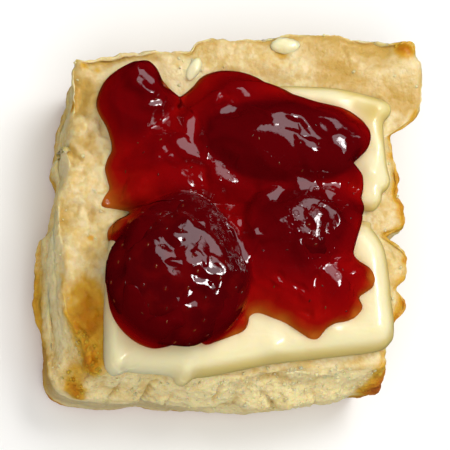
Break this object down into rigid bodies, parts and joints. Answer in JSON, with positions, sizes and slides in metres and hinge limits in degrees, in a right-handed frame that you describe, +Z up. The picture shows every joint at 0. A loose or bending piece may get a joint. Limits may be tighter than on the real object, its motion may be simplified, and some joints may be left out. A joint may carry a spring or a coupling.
{
  "type": "buttered biscuit half with strawberry jam",
  "caption": "Half of a square flaky biscuit with soft butter pats, jam and whole strawberries on its split top, lying on a flat base.",
  "frame": {"origin": "middle of the flat base, on the surface that the biscuit lies on", "axes": "+Z up through the biscuit, butter and jam; +X to the right and +Y to the back as the picture shows it"},
  "size_m": [0.0704, 0.0702, 0.0371],
  "materials": {
    "bread": "matt baked crumb, toasted at the edges",
    "butter": "soft, satin",
    "jam": "wet, clear red jelly",
    "strawberry": "wet, syrup coated"
  },
  "bodies": {
    "root": {"biscuit": "bread", "butter_front": "butter", "butter_back": "butter", "butter_dab_back": "butter", "butter_dab_left": "butter", "jam": "jam", "strawberry_front": "strawberry", "strawberry_back": "strawberry", "strawberry_middle": "strawberry", "strawberry_left": "strawberry"}
  },
  "joints": []
}
